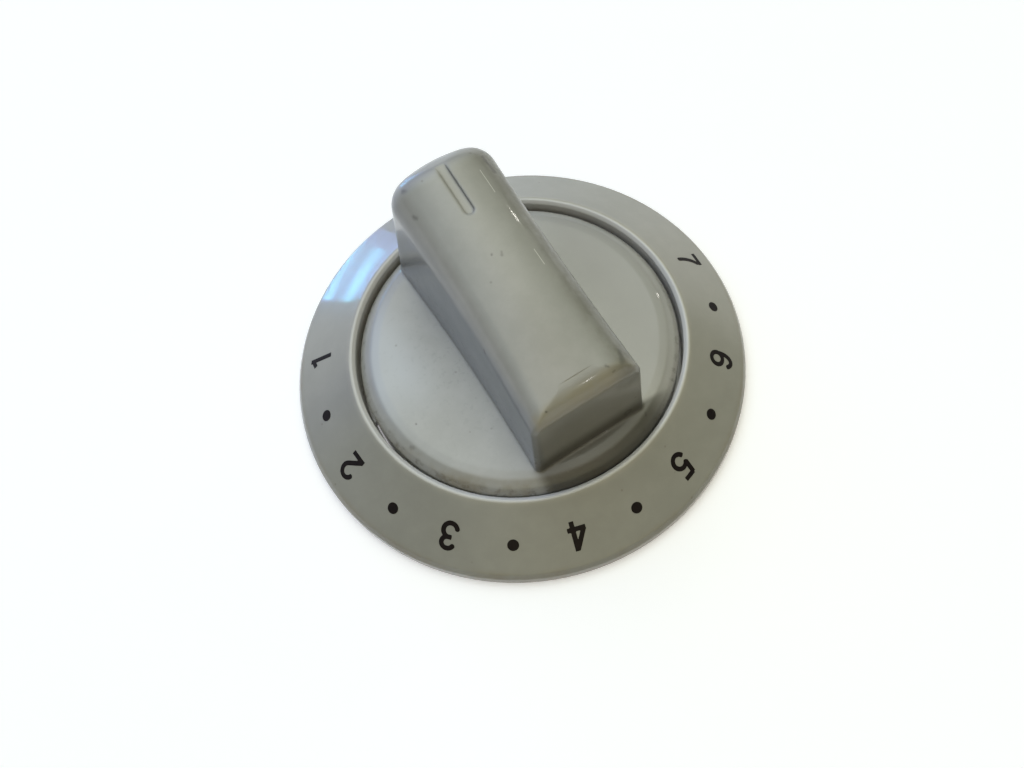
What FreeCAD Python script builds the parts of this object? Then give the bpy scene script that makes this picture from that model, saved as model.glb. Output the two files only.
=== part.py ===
# Grill control knob: a moulded knob body with a bar grip, a numbered dial ring that snaps on to it,
# and the steel spring clip in the shaft bore. Millimetres, +Z out of the face, pointer towards +Y,
# origin at the centre of the rear rim.
import FreeCAD, Part
import os
import math
import Sketcher

doc = FreeCAD.newDocument("grill_control_knob")
sheet = doc.addObject("Spreadsheet::Sheet", "sizes")

# Driving dimensions, in millimetres, and in degrees where the name says draft or angle
SIZES = {
    # dial ring
    "ring_outer_radius": 31.0,
    "ring_edge_height": 1.9,
    "ring_edge_chamfer": 0.45,
    "ring_lip_width": 0.8,
    "ring_lip_chamfer": 0.4,
    "ring_crest_height": 7.5,
    "ring_wall": 1.6,
    "ring_inner_wall": 1.3,
    "shelf_top_height": 2.6,
    "shelf_thickness": 1.2,
    "shelf_width": 3.9,
    # disc of the knob body and its skirt
    "disc_radius": 21.6,
    "rim_gap": 0.5,
    "disc_edge_height": 6.0,
    "disc_shoulder_width": 2.8,
    "disc_shoulder_drop": 1.75,
    "disc_dome": 0.55,
    "disc_thickness": 1.9,
    "skirt_wall": 1.5,
    # bar grip
    "grip_near_end": 17.2,
    "grip_far_station": 24.0,
    "grip_half_width_near": 8.3,
    "grip_half_width_waist": 7.75,
    "grip_half_width_far": 8.35,
    "grip_side_draft": 2.0,
    "grip_near_shoulder": 17.6,
    "grip_waist_shoulder": 21.6,
    "grip_far_shoulder": 26.0,
    "grip_near_crest": 20.8,
    "grip_waist_crest": 26.3,
    "grip_far_crest": 31.3,
    "grip_near_round": 3.0,
    "grip_waist_round": 4.2,
    "grip_far_round": 4.8,
    "grip_end_draft": 2.0,
    "grip_end_round": 4.0,
    "grip_end_roll_angle": 70.0,
    "grip_corner_bevel": 0.45,
    "nose_draft": 9.0,
    "nose_round": 5.0,
    "nose_setback": 7.5,
    "nose_corner_round": 3.0,
    "grip_wall": 2.0,
    "pointer_length": 8.2,
    "pointer_width": 1.3,
    "pointer_depth": 0.4,
    "pointer_start": 7.6,
    # hub with its shaft bore
    "shaft_radius": 3.0,
    "shaft_flat": 4.6,
    "bore_clearance": 0.1,
    "lead_in_clearance": 0.3,
    "hub_radius": 5.6,
    "hub_recess": 1.0,
    "lead_in_depth": 3.0,
    "bore_depth": 14.0,
    # ribs, hooks and keys
    "rib_thickness": 1.2,
    "rib_height": 2.0,
    "web_base_height": 10.0,
    "hook_thickness": 1.3,
    "hook_clearance": 0.2,
    "hook_reach": 0.9,
    "hook_seat_gap": 0.1,
    "hook_tip_height": 0.3,
    "hook_angle": 22.0,
    "key_angle": 12.0,
    "key_depth": 1.0,
    "key_clearance": 0.2,
    "key_play_angle": 1.0,
    # spring clip
    "clip_thickness": 0.4,
    "clip_width": 2.8,
    "clip_clearance": 0.1,
    "clip_seat_gap": 0.05,
    "clip_outer_leg": 3.6,
    "clip_bow": 2.05,
    "clip_bow_length": 9.8,
}

for row, (name, number) in enumerate(SIZES.items(), start=1):
    sheet.set("A%d" % row, name)
    sheet.set("B%d" % row, str(number))
    sheet.setAlias("B%d" % row, name)
doc.recompute()


class Term:
    # A length that knows both its present value and the expression that gives it
    def __init__(self, value, text):
        self.value = value
        self.text = text

    def __add__(self, other):
        other = term(other)
        return Term(self.value + other.value, "(%s + %s)" % (self.text, other.text))

    def __radd__(self, other):
        return term(other) + self

    def __sub__(self, other):
        other = term(other)
        return Term(self.value - other.value, "(%s - %s)" % (self.text, other.text))

    def __rsub__(self, other):
        return term(other) - self

    def __mul__(self, other):
        other = term(other)
        return Term(self.value * other.value, "(%s * %s)" % (self.text, other.text))

    __rmul__ = __mul__

    def __truediv__(self, other):
        other = term(other)
        return Term(self.value / other.value, "(%s / %s)" % (self.text, other.text))

    def __rtruediv__(self, other):
        return term(other) / self

    def __neg__(self):
        return Term(-self.value, "(-%s)" % self.text)


def term(item):
    if isinstance(item, Term):
        return item
    return Term(float(item), "(%r)" % float(item))


def size(name):
    return Term(SIZES[name], "sizes." + name)


def tangent(angle):
    return Term(math.tan(math.radians(angle.value)), "tan(%s)" % angle.text)


def sine(angle):
    return Term(math.sin(math.radians(angle.value)), "sin(%s)" % angle.text)


def cosine(angle):
    return Term(math.cos(math.radians(angle.value)), "cos(%s)" % angle.text)


def arc_sine(item):
    return Term(math.degrees(math.asin(item.value)), "asin(%s)" % item.text)


def root(item):
    return Term(math.sqrt(item.value), "sqrt(%s)" % item.text)


ZERO = term(0)
KEY_COUNT = 2
RIB_COUNT = 2
HOOK_COUNT = 4
HOOK_TURN = 45
SHOULDER_STEPS = 3
JOIN = 0.4
PAST = 1
FAR_PAST = 10
BELOW = term(-2)


# Sketch helpers
def plane(body, role):
    return [item for item in body.Origin.OriginFeatures if item.Role == role][0]


def new_sketch(body, name, role, offset=None):
    sketch = body.newObject("Sketcher::SketchObject", name)
    sketch.AttachmentSupport = [(plane(body, role), "")]
    sketch.MapMode = "FlatFace"
    if offset is not None:
        sketch.setExpression("AttachmentOffset.Base.z", offset.text)
    return sketch


def fix(sketch, kind, geometry, point, amount):
    if amount is ZERO:
        axis = -2 if kind == "DistanceX" else -1
        sketch.addConstraint(Sketcher.Constraint("PointOnObject", geometry, point, axis))
        return
    index = sketch.addConstraint(Sketcher.Constraint(kind, geometry, point, amount.value))
    sketch.setExpression("Constraints[%d]" % index, amount.text)


def arc_between(start, end, radius, turn):
    # turn is 1 for an arc that runs counter-clockwise from start to end, -1 for clockwise
    chord = (end - start)
    half = chord.Length / 2
    reach = math.sqrt(max(radius * radius - half * half, 0))
    side = FreeCAD.Vector(-chord.y, chord.x, 0).normalize() * turn
    centre = start + chord * 0.5 + side * reach
    first, last = (start, end) if turn > 0 else (end, start)
    angle_first = math.atan2(first.y - centre.y, first.x - centre.x)
    angle_last = math.atan2(last.y - centre.y, last.x - centre.x)
    circle = Part.Circle(centre, FreeCAD.Vector(0, 0, 1), radius)
    return Part.ArcOfCircle(circle, angle_first, angle_last)


def outline(sketch, corners, arcs=None):
    # Closed outline through the corners; arcs gives, per edge, a radius and a turn
    arcs = arcs or {}
    points = [FreeCAD.Vector(x.value, y.value, 0) for x, y in corners]
    count = len(points)
    ends = []
    for index in range(count):
        start = points[index]
        end = points[(index + 1) % count]
        if index in arcs:
            radius, turn = arcs[index]
            sketch.addGeometry(arc_between(start, end, radius.value, turn), False)
            ends.append((1, 2) if turn > 0 else (2, 1))
        else:
            sketch.addGeometry(Part.LineSegment(start, end), False)
            ends.append((1, 2))
    for index in range(count):
        following = (index + 1) % count
        joint = Sketcher.Constraint("Coincident", index, ends[index][1], following, ends[following][0])
        sketch.addConstraint(joint)
    for index, (x, y) in enumerate(corners):
        fix(sketch, "DistanceX", index, ends[index][0], x)
        fix(sketch, "DistanceY", index, ends[index][0], y)
    for index, (radius, turn) in arcs.items():
        number = sketch.addConstraint(Sketcher.Constraint("Radius", index, radius.value))
        sketch.setExpression("Constraints[%d]" % number, radius.text)


def circles_at(sketch, places):
    # Full circles, each given as centre x, centre y and radius
    for index, (x, y, radius) in enumerate(places):
        centre = FreeCAD.Vector(x.value, y.value, 0)
        sketch.addGeometry(Part.Circle(centre, FreeCAD.Vector(0, 0, 1), radius.value), False)
        fix(sketch, "DistanceX", index, 3, x)
        fix(sketch, "DistanceY", index, 3, y)
        number = sketch.addConstraint(Sketcher.Constraint("Radius", index, radius.value))
        sketch.setExpression("Constraints[%d]" % number, radius.text)


def rectangle(sketch, left, right, low, high):
    outline(sketch, [(left, low), (right, low), (right, high), (left, high)])


def round_slot(sketch, radius, half_length):
    # Slot along the sketch's Y axis, with the centres of its round ends half_length either way
    ends = [FreeCAD.Vector(0, half_length.value, 0), FreeCAD.Vector(0, -half_length.value, 0)]
    side = FreeCAD.Vector(radius.value, 0, 0)
    up = FreeCAD.Vector(0, 0, 1)
    sketch.addGeometry(Part.ArcOfCircle(Part.Circle(ends[0], up, radius.value), 0, math.pi), False)
    sketch.addGeometry(Part.LineSegment(ends[0] - side, ends[1] - side), False)
    sketch.addGeometry(Part.ArcOfCircle(Part.Circle(ends[1], up, radius.value), math.pi, 2 * math.pi), False)
    sketch.addGeometry(Part.LineSegment(ends[1] + side, ends[0] + side), False)
    for index in range(4):
        sketch.addConstraint(Sketcher.Constraint("Tangent", index, 2, (index + 1) % 4, 1))
    for index, place in ((0, half_length), (2, -half_length)):
        fix(sketch, "DistanceX", index, 3, ZERO)
        fix(sketch, "DistanceY", index, 3, place)
    number = sketch.addConstraint(Sketcher.Constraint("Radius", 0, radius.value))
    sketch.setExpression("Constraints[%d]" % number, radius.text)


def revolve(body, kind, name, sketch, angle=None):
    feature = body.newObject("PartDesign::" + kind, name)
    feature.Profile = sketch
    feature.ReferenceAxis = (plane(body, "Z_Axis"), [""])
    feature.Angle = 360
    if angle is not None:
        feature.Midplane = True
        feature.setExpression("Angle", angle.text)
    return feature


def extrude(body, kind, name, sketch, length, both_sides=False, reverse=False):
    feature = body.newObject("PartDesign::" + kind, name)
    feature.Profile = sketch
    feature.setExpression("Length", length.text)
    feature.Midplane = both_sides
    feature.Reversed = reverse
    return feature


def polar(body, name, features, count):
    feature = body.newObject("PartDesign::PolarPattern", name)
    feature.Originals = features
    feature.Axis = (plane(body, "Z_Axis"), [""])
    feature.Angle = 360
    feature.Occurrences = count
    body.Tip = feature
    return feature


def circle_edges(shape, radius, height):
    # Names of the full circles of one radius at one height
    names = []
    for number, edge in enumerate(shape.Edges, start=1):
        curve = edge.Curve
        if not isinstance(curve, Part.Circle):
            continue
        if abs(curve.Radius - radius.value) < 1e-4 and abs(curve.Center.z - height.value) < 1e-4:
            names.append("Edge%d" % number)
    return names


# Sizes worked out from the driving ones
gap_radius = size("disc_radius") + size("rim_gap")
shelf_inner = gap_radius - size("shelf_width")
shelf_base = size("shelf_top_height") - size("shelf_thickness")
shoulder_radius = size("disc_radius") - size("disc_shoulder_width")
shoulder_height = size("disc_edge_height") + size("disc_shoulder_drop")
disc_underside = shoulder_height - size("disc_thickness")
skirt_inner = size("disc_radius") - size("skirt_wall")
bore_radius = size("shaft_radius") + size("bore_clearance")
lead_in_radius = size("shaft_radius") + size("lead_in_clearance")
flat_offset = size("shaft_flat") - size("shaft_radius") + size("bore_clearance")
clip_slot_back = lead_in_radius + size("clip_thickness") + 2 * size("clip_clearance")


# Dial ring
def make_dial_ring():
    body = doc.addObject("PartDesign::Body", "dial_ring")
    outer = size("ring_outer_radius")
    crest = gap_radius + size("ring_lip_width")
    crest_height = size("ring_crest_height")
    edge_height = size("ring_edge_height")
    wall = size("ring_wall")
    inner_wall = size("ring_inner_wall")
    lip = size("ring_lip_chamfer")
    slope = (crest_height - edge_height) / (outer - crest)
    roof_drop = wall * root(slope * slope + 1)
    groove_top = crest_height - slope * (gap_radius + inner_wall - crest) - roof_drop
    groove_low = edge_height + slope * wall - roof_drop
    sketch = new_sketch(body, "ring_section", "YZ_Plane")
    corners = [
        (outer, ZERO),
        (outer, edge_height),
        (crest, crest_height),
        (gap_radius + lip, crest_height),
        (gap_radius, crest_height - lip),
        (gap_radius, size("shelf_top_height")),
        (shelf_inner, size("shelf_top_height")),
        (shelf_inner, shelf_base),
        (gap_radius + inner_wall, shelf_base),
        (gap_radius + inner_wall, groove_top),
        (outer - wall, groove_low),
        (outer - wall, ZERO),
    ]
    outline(sketch, corners)
    turned = revolve(body, "Revolution", "ring_turned", sketch)
    doc.recompute()
    broken = body.newObject("PartDesign::Chamfer", "ring_edge")
    broken.Base = (turned, circle_edges(turned.Shape, outer, edge_height))
    broken.setExpression("Size", size("ring_edge_chamfer").text)
    sketch = new_sketch(body, "key_slot_sketch", "XZ_Plane")
    play = size("key_clearance")
    rectangle(sketch, skirt_inner - play, size("disc_radius") + play,
              shelf_base - PAST, size("shelf_top_height") + PAST)
    slot = revolve(body, "Groove", "key_slot", sketch, size("key_angle") + size("key_play_angle"))
    polar(body, "key_slots", [slot], KEY_COUNT)
    doc.recompute()
    return body


ring = make_dial_ring()


# Bar grip: sections along Y, lofted, then trimmed at both ends
FAR_STATION = size("grip_far_station")
NEAR_STATION = size("grip_near_end") + PAST


def crown_radius(top, shoulder, crest, shoulder_round):
    # Radius of the crown that meets the crest height and both shoulder rounds
    draft = size("grip_side_draft")
    flat = top - shoulder_round * cosine(draft)
    rise = crest - shoulder + shoulder_round * sine(draft)
    return (flat * flat + rise * rise - shoulder_round * shoulder_round) / (2 * (rise - shoulder_round))


def grip_section(body, name, station, place):
    # A section of the bar: drafted walls, round shoulders and a crowned top
    sketch = new_sketch(body, name, "XZ_Plane", -station)
    base = disc_underside
    foot = size("grip_half_width_" + place)
    shoulder = size("grip_" + place + "_shoulder")
    crest = size("grip_" + place + "_crest")
    small = size("grip_" + place + "_round")
    draft = size("grip_side_draft")
    top = foot - tangent(draft) * (shoulder - base)
    large = crown_radius(top, shoulder, crest, small)
    centre_x = (top - small * cosine(draft)).value
    centre_z = (shoulder - small * sine(draft)).value
    crown_z = (crest - large).value
    start = math.radians(draft.value)
    angle = math.atan2(centre_z - crown_z, centre_x)
    up = FreeCAD.Vector(0, 0, 1)
    right_circle = Part.Circle(FreeCAD.Vector(centre_x, centre_z, 0), up, small.value)
    left_circle = Part.Circle(FreeCAD.Vector(-centre_x, centre_z, 0), up, small.value)
    crown_circle = Part.Circle(FreeCAD.Vector(0, crown_z, 0), up, large.value)
    foot_right = FreeCAD.Vector(foot.value, base.value, 0)
    foot_left = FreeCAD.Vector(-foot.value, base.value, 0)
    top_right = FreeCAD.Vector(top.value, shoulder.value, 0)
    top_left = FreeCAD.Vector(-top.value, shoulder.value, 0)
    sketch.addGeometry(Part.LineSegment(foot_left, foot_right), False)
    sketch.addGeometry(Part.LineSegment(foot_right, top_right), False)
    sketch.addGeometry(Part.ArcOfCircle(right_circle, start, angle), False)
    sketch.addGeometry(Part.ArcOfCircle(crown_circle, angle, math.pi - angle), False)
    sketch.addGeometry(Part.ArcOfCircle(left_circle, math.pi - angle, math.pi - start), False)
    sketch.addGeometry(Part.LineSegment(top_left, foot_left), False)
    sketch.addConstraint(Sketcher.Constraint("Coincident", 0, 2, 1, 1))
    sketch.addConstraint(Sketcher.Constraint("Tangent", 1, 2, 2, 1))
    sketch.addConstraint(Sketcher.Constraint("Tangent", 2, 2, 3, 1))
    sketch.addConstraint(Sketcher.Constraint("Tangent", 3, 2, 4, 1))
    sketch.addConstraint(Sketcher.Constraint("Tangent", 4, 2, 5, 1))
    sketch.addConstraint(Sketcher.Constraint("Coincident", 5, 2, 0, 1))
    fix(sketch, "DistanceX", 0, 1, -foot)
    fix(sketch, "DistanceY", 0, 1, base)
    fix(sketch, "DistanceX", 0, 2, foot)
    fix(sketch, "DistanceY", 0, 2, base)
    fix(sketch, "DistanceX", 1, 2, top)
    fix(sketch, "DistanceY", 1, 2, shoulder)
    fix(sketch, "DistanceX", 5, 1, -top)
    sketch.addConstraint(Sketcher.Constraint("PointOnObject", 3, 3, -2))
    for geometry, radius in ((2, small), (3, large), (4, small)):
        number = sketch.addConstraint(Sketcher.Constraint("Radius", geometry, radius.value))
        sketch.setExpression("Constraints[%d]" % number, radius.text)
    return sketch


def core_section(body, name, station, place):
    # A section of the hollow: the bar's walls moved in, with a chamfer under each round shoulder
    sketch = new_sketch(body, name, "XZ_Plane", -station)
    wall = size("grip_wall")
    shoulder = size("grip_" + place + "_shoulder")
    bevel = size("grip_" + place + "_round") - wall
    foot = size("grip_half_width_" + place) - wall
    top = foot - tangent(size("grip_side_draft")) * shoulder
    roof = top - bevel
    outline(sketch, [
        (foot, ZERO),
        (top, shoulder),
        (roof, shoulder + bevel),
        (-roof, shoulder + bevel),
        (-top, shoulder),
        (-foot, ZERO),
    ])
    return sketch


def bar(body, prefix, near_station, draw_section):
    # Lofts the three sections of the grip, or of its hollow, from the near end to the pointer end
    stations = (
        ("near", -near_station),
        ("waist", ZERO),
        ("far", FAR_STATION),
    )
    sections = [draw_section(body, prefix + "_" + place, station, place) for place, station in stations]
    feature = body.newObject("PartDesign::AdditiveLoft", prefix + "_bar")
    feature.Profile = sections[0]
    feature.Sections = sections[1:]
    feature.Ruled = False
    return feature


def crest_at(place):
    # Height of the crown line at one place along the grip, through its three sections
    near = size("grip_near_crest") * place * (place - FAR_STATION) / (NEAR_STATION * (NEAR_STATION + FAR_STATION))
    waist = size("grip_waist_crest") * (place + NEAR_STATION) * (FAR_STATION - place) / (NEAR_STATION * FAR_STATION)
    far = size("grip_far_crest") * place * (place + NEAR_STATION) / (FAR_STATION * (NEAR_STATION + FAR_STATION))
    return near + waist + far


def trim_nose(body, name, inset, rounded):
    # The pointer end is turned about the knob's axis: it leans in from the disc's edge and rounds over
    lean = size("nose_draft")
    bend = size("nose_round")
    round_over = bend - inset
    slope = (size("grip_far_crest") - size("grip_waist_crest")) / FAR_STATION
    slant = root(slope * slope + 1)
    crest = crest_at(size("disc_radius") - size("nose_setback"))
    centre_height = crest - bend / slant
    start_height = centre_height + round_over * sine(lean)
    foot = size("disc_radius") - inset
    outer_start = centre_height + bend * sine(lean)
    outer_top = size("disc_radius") - tangent(lean) * (outer_start - size("disc_edge_height"))
    centre = outer_top - bend * cosine(lean)
    start = centre + round_over * cosine(lean)
    top = centre - round_over * slope / slant
    sketch = new_sketch(body, name + "_sketch", "YZ_Plane")
    corners = [
        (foot, BELOW),
        (foot, size("disc_edge_height")),
        (start, start_height),
        (top, centre_height + round_over / slant),
        (top, crest + FAR_PAST),
        (foot + FAR_PAST, crest + FAR_PAST),
        (foot + FAR_PAST, BELOW),
    ]
    outline(sketch, corners, {2: (round_over, 1)} if rounded else None)
    half_turn = term(180)
    return revolve(body, "Groove", name, sketch, half_turn)


def trim_near_end(body, name):
    # The top rolls over at the near end, to an edge with a flat face that leans out towards the disc
    end = size("grip_near_end")
    bend = size("grip_end_round")
    turn = size("grip_end_roll_angle")
    slope = (size("grip_waist_crest") - size("grip_near_crest")) / NEAR_STATION
    slant = root(slope * slope + 1)
    roll_start = end - bend * (sine(turn) - slope / slant)
    crest = size("grip_near_crest") + slope * (NEAR_STATION - roll_start)
    edge_height = crest - bend * (1 / slant - cosine(turn))
    low = end + tangent(size("grip_end_draft")) * edge_height
    sketch = new_sketch(body, name + "_sketch", "YZ_Plane")
    corners = [
        (-low, ZERO),
        (-end, edge_height),
        (-roll_start, crest),
        (-roll_start, crest + FAR_PAST),
        (-(low + FAR_PAST), crest + FAR_PAST),
        (-(low + FAR_PAST), ZERO),
    ]
    outline(sketch, corners, {1: (bend, -1)})
    return extrude(body, "Pocket", name, sketch, 4 * size("grip_half_width_near"), both_sides=True)


def near_corner_edges(shape):
    # Upright corner edges of the near end face
    ends = [face for face in shape.Faces if isinstance(face.Surface, Part.Plane) and face.normalAt(0, 0).y < -0.9]
    names = []
    for number, edge in enumerate(shape.Edges, start=1):
        upright = edge.BoundBox.ZLength > size("grip_near_shoulder").value / 2
        if upright and any(edge.isSame(rim) for rim in ends[0].Edges):
            names.append("Edge%d" % number)
    return names


def nose_corner_edges(shape):
    # Edges where the turned pointer end meets the sides and round shoulders of the bar
    names = []
    for number, edge in enumerate(shape.Edges, start=1):
        faces = shape.ancestorsOfType(edge, Part.Face)
        sides = [face for face in faces if not isinstance(face.Surface, (Part.Cone, Part.Toroid))]
        if len(faces) != 2 or len(sides) != 1 or edge.CenterOfMass.z < disc_underside.value + PAST:
            continue
        if abs(sides[0].CenterOfMass.x) > size("grip_half_width_far").value / 2:
            names.append("Edge%d" % number)
    return names


def make_core(name, near_side):
    # The hollow on one side of the hub: the bar moved in by the wall, less the hub and a middle web
    body = doc.addObject("PartDesign::Body", name)
    wall = size("grip_wall")
    bar(body, name, size("grip_near_end") - wall, core_section)
    trim_nose(body, name + "_nose", wall, False)
    sketch = new_sketch(body, name + "_half_sketch", "YZ_Plane")
    reach = size("disc_radius") + FAR_PAST
    high = size("grip_far_crest") + PAST
    if near_side:
        rectangle(sketch, ZERO, reach, BELOW, high)
    else:
        rectangle(sketch, -reach, ZERO, BELOW, high)
    extrude(body, "Pocket", name + "_half", sketch, 4 * size("grip_half_width_near"), both_sides=True)
    sketch = new_sketch(body, name + "_hub_sketch", "XY_Plane", BELOW)
    circles_at(sketch, [(ZERO, ZERO, size("hub_radius"))])
    extrude(body, "Pocket", name + "_hub", sketch, high - BELOW, reverse=True)
    sketch = new_sketch(body, name + "_web_sketch", "XZ_Plane")
    half_web = size("rib_thickness") / 2
    rectangle(sketch, -half_web, half_web, size("web_base_height"), high)
    extrude(body, "Pocket", name + "_web", sketch, 2 * reach, both_sides=True)
    doc.recompute()
    return body


def shoulder_point(step):
    # A point of the disc's rounded shoulder, from its rim at step 0 to its top
    width = size("disc_shoulder_width")
    drop = size("disc_shoulder_drop")
    bend = (width * width + drop * drop) / (2 * drop)
    turn = arc_sine(width / bend) * (SHOULDER_STEPS - step) / SHOULDER_STEPS
    return (shoulder_radius + bend * sine(turn), shoulder_height - bend * (1 - cosine(turn)))


def make_knob_body():
    body = doc.addObject("PartDesign::Body", "knob_body")
    bar(body, "grip", NEAR_STATION, grip_section)
    doc.recompute()
    near_face = trim_near_end(body, "grip_near_face")
    doc.recompute()
    corner = body.newObject("PartDesign::Chamfer", "grip_near_corners")
    corner.Base = (near_face, near_corner_edges(near_face.Shape))
    corner.setExpression("Size", size("grip_corner_bevel").text)
    nose = trim_nose(body, "grip_nose", ZERO, True)
    doc.recompute()
    corner = body.newObject("PartDesign::Fillet", "nose_corners")
    corner.Base = (nose, nose_corner_edges(nose.Shape))
    corner.setExpression("Radius", size("nose_corner_round").text)
    sketch = new_sketch(body, "disc_section", "YZ_Plane")
    dome_height = shoulder_height + size("disc_dome")
    corners = [
        (ZERO, disc_underside),
        (skirt_inner, disc_underside),
        (skirt_inner, size("shelf_top_height")),
        (size("disc_radius"), size("shelf_top_height")),
    ]
    corners += [shoulder_point(step) for step in range(SHOULDER_STEPS + 1)] + [(ZERO, dome_height)]
    outline(sketch, corners)
    revolve(body, "Revolution", "disc_turned", sketch)
    doc.recompute()
    return body


def hollow_knob_body(body):
    # The grip is cored from behind on both sides of the hub
    cores = [make_core("near_core", True), make_core("far_core", False)]
    hollow = body.newObject("PartDesign::Boolean", "grip_hollow")
    hollow.Type = "Cut"
    hollow.setObjects(cores)
    doc.recompute()


def add_hub(body):
    # Boss below the disc, with a round lead-in, the flatted bore and the slot for the clip
    low = size("hub_recess")
    sketch = new_sketch(body, "hub_sketch", "XY_Plane", low)
    circles_at(sketch, [(ZERO, ZERO, size("hub_radius"))])
    extrude(body, "Pad", "hub", sketch, disc_underside - low + JOIN)
    sketch = new_sketch(body, "lead_in_sketch", "XY_Plane", low)
    circles_at(sketch, [(ZERO, ZERO, lead_in_radius)])
    extrude(body, "Pocket", "lead_in", sketch, size("lead_in_depth"), reverse=True)
    sketch = new_sketch(body, "bore_sketch", "XY_Plane", low + size("lead_in_depth"))
    half_flat = root(bore_radius * bore_radius - flat_offset * flat_offset)
    corners = [(-half_flat, -flat_offset), (half_flat, -flat_offset), (ZERO, bore_radius)]
    outline(sketch, corners, {1: (bore_radius, 1), 2: (bore_radius, 1)})
    depth = size("bore_depth") - size("lead_in_depth")
    extrude(body, "Pocket", "flatted_bore", sketch, depth, reverse=True)
    sketch = new_sketch(body, "clip_slot_sketch", "XY_Plane", low)
    half_slot = size("clip_width") / 2 + size("clip_clearance")
    rectangle(sketch, -half_slot, half_slot, -clip_slot_back, -(flat_offset - size("bore_clearance")))
    extrude(body, "Pocket", "clip_slot", sketch, size("bore_depth"), reverse=True)
    doc.recompute()


def add_ribs(body):
    # Stiffening ribs from the hub to the skirt, under the disc
    sketch = new_sketch(body, "rib_sketch", "XZ_Plane")
    rectangle(sketch, size("hub_radius") - JOIN, skirt_inner + JOIN,
              disc_underside - size("rib_height"), disc_underside + JOIN)
    rib = extrude(body, "Pad", "rib", sketch, size("rib_thickness"), both_sides=True)
    polar(body, "ribs", [rib], RIB_COUNT)
    doc.recompute()


def add_hooks(body):
    # Snap hooks that pass inside the ring's shelf and catch under it
    outer = shelf_inner - size("hook_clearance")
    inner = outer - size("hook_thickness")
    barb = shelf_inner + size("hook_reach")
    seat = shelf_base - size("hook_seat_gap")
    tip = size("hook_tip_height")
    sketch = new_sketch(body, "hook_sketch", "YZ_Plane")
    sketch.AttachmentOffset = FreeCAD.Placement(
        FreeCAD.Vector(0, 0, 0), FreeCAD.Rotation(FreeCAD.Vector(0, 1, 0), HOOK_TURN))
    corners = [
        (inner, disc_underside + JOIN),
        (inner, tip),
        (outer, tip),
        (barb, (tip + seat) / 2),
        (barb, seat),
        (outer, seat),
        (outer, disc_underside + JOIN),
    ]
    outline(sketch, corners)
    hook = revolve(body, "Revolution", "hook", sketch, size("hook_angle"))
    polar(body, "hooks", [hook], HOOK_COUNT)
    doc.recompute()


def add_keys(body):
    # Keys below the skirt that turn the ring with the knob
    sketch = new_sketch(body, "key_sketch", "XZ_Plane")
    top = size("shelf_top_height")
    rectangle(sketch, skirt_inner, size("disc_radius"), top - size("key_depth"), top + JOIN)
    key = revolve(body, "Revolution", "key", sketch, size("key_angle"))
    polar(body, "keys", [key], KEY_COUNT)
    doc.recompute()


def cut_pointer(body):
    # Shallow pointer recess along the crown, in a plane that follows the crown line
    half_length = (size("pointer_length") - size("pointer_width")) / 2
    middle = size("pointer_start") + size("pointer_length") / 2
    first = crest_at(middle - half_length)
    last = crest_at(middle + half_length)
    sketch = new_sketch(body, "pointer_sketch", "XY_Plane")
    sketch.setExpression("AttachmentOffset.Base.y", middle.text)
    sketch.setExpression("AttachmentOffset.Base.z", crest_at(middle).text)
    sketch.setExpression("AttachmentOffset.Rotation.Axis.x", "1")
    sketch.setExpression("AttachmentOffset.Rotation.Axis.z", "0")
    rise = "atan((%s - %s) / (%s))" % (last.text, first.text, (2 * half_length).text)
    sketch.setExpression("AttachmentOffset.Rotation.Angle", rise)
    round_slot(sketch, size("pointer_width") / 2, half_length)
    pocket = body.newObject("PartDesign::Pocket", "pointer_recess")
    pocket.Profile = sketch
    pocket.SideType = "Two sides"
    pocket.setExpression("Length", size("pointer_depth").text)
    pocket.setExpression("Length2", size("pointer_width").text)
    doc.recompute()


def make_clip():
    # Sprung steel strip: hooked round the hub's lower edge, with a bowed leg that bears on the shaft's flat
    body = doc.addObject("PartDesign::Body", "shaft_spring_clip")
    thick = size("clip_thickness")
    gap = size("clip_seat_gap")
    back = clip_slot_back - gap
    front = back - thick
    outside = size("hub_radius") + gap
    low = size("hub_recess") - gap
    bow_start = size("hub_recess") + size("lead_in_depth") + gap
    bow_end = bow_start + size("clip_bow_length")
    bow = size("clip_bow")
    span = size("clip_bow_length")
    bow_radius = span * span / (8 * bow) + bow / 2
    leg_top = low + size("clip_outer_leg")
    sketch = new_sketch(body, "clip_sketch", "YZ_Plane")
    corners = [
        (-(outside + thick), low - thick),
        (-front, low - thick),
        (-front, bow_start),
        (-front, bow_end),
        (-back, bow_end),
        (-back, bow_start),
        (-back, low),
        (-outside, low),
        (-outside, leg_top),
        (-(outside + thick), leg_top),
    ]
    outline(sketch, corners, {2: (bow_radius, 1), 4: (bow_radius, -1)})
    extrude(body, "Pad", "clip_strip", sketch, size("clip_width"), both_sides=True)
    doc.recompute()
    return body


knob = make_knob_body()
hollow_knob_body(knob)
add_hub(knob)
add_ribs(knob)
add_hooks(knob)
add_keys(knob)
cut_pointer(knob)
clip = make_clip()

# Check every object, then write each sub-part
doc.recompute()
for item in doc.Objects:
    if "Invalid" in item.State or "Error" in item.State:
        raise RuntimeError("%s did not build: %s" % (item.Name, item.State))

os.makedirs("parts", exist_ok=True)
for body in (knob, ring, clip):
    shape = body.Shape
    if shape.isNull() or not shape.isValid() or len(shape.Solids) != 1:
        raise RuntimeError("%s is not one valid solid" % body.Label)
    shape.exportStep("parts/%s.step" % body.Label)
    print(body.Label, round(shape.Volume, 1), "mm3")
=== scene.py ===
# Grill control knob, dressed: glossy off-white plastic, printed numbers and dots, steel spring clip.
# Metres, in the part's own frame: +Z out of the face, pointer towards +Y, origin in the rear rim's plane.
import math

import bmesh
import bpy
from mathutils import Matrix, Quaternion, Vector
from mathutils.bvhtree import BVHTree


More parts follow.
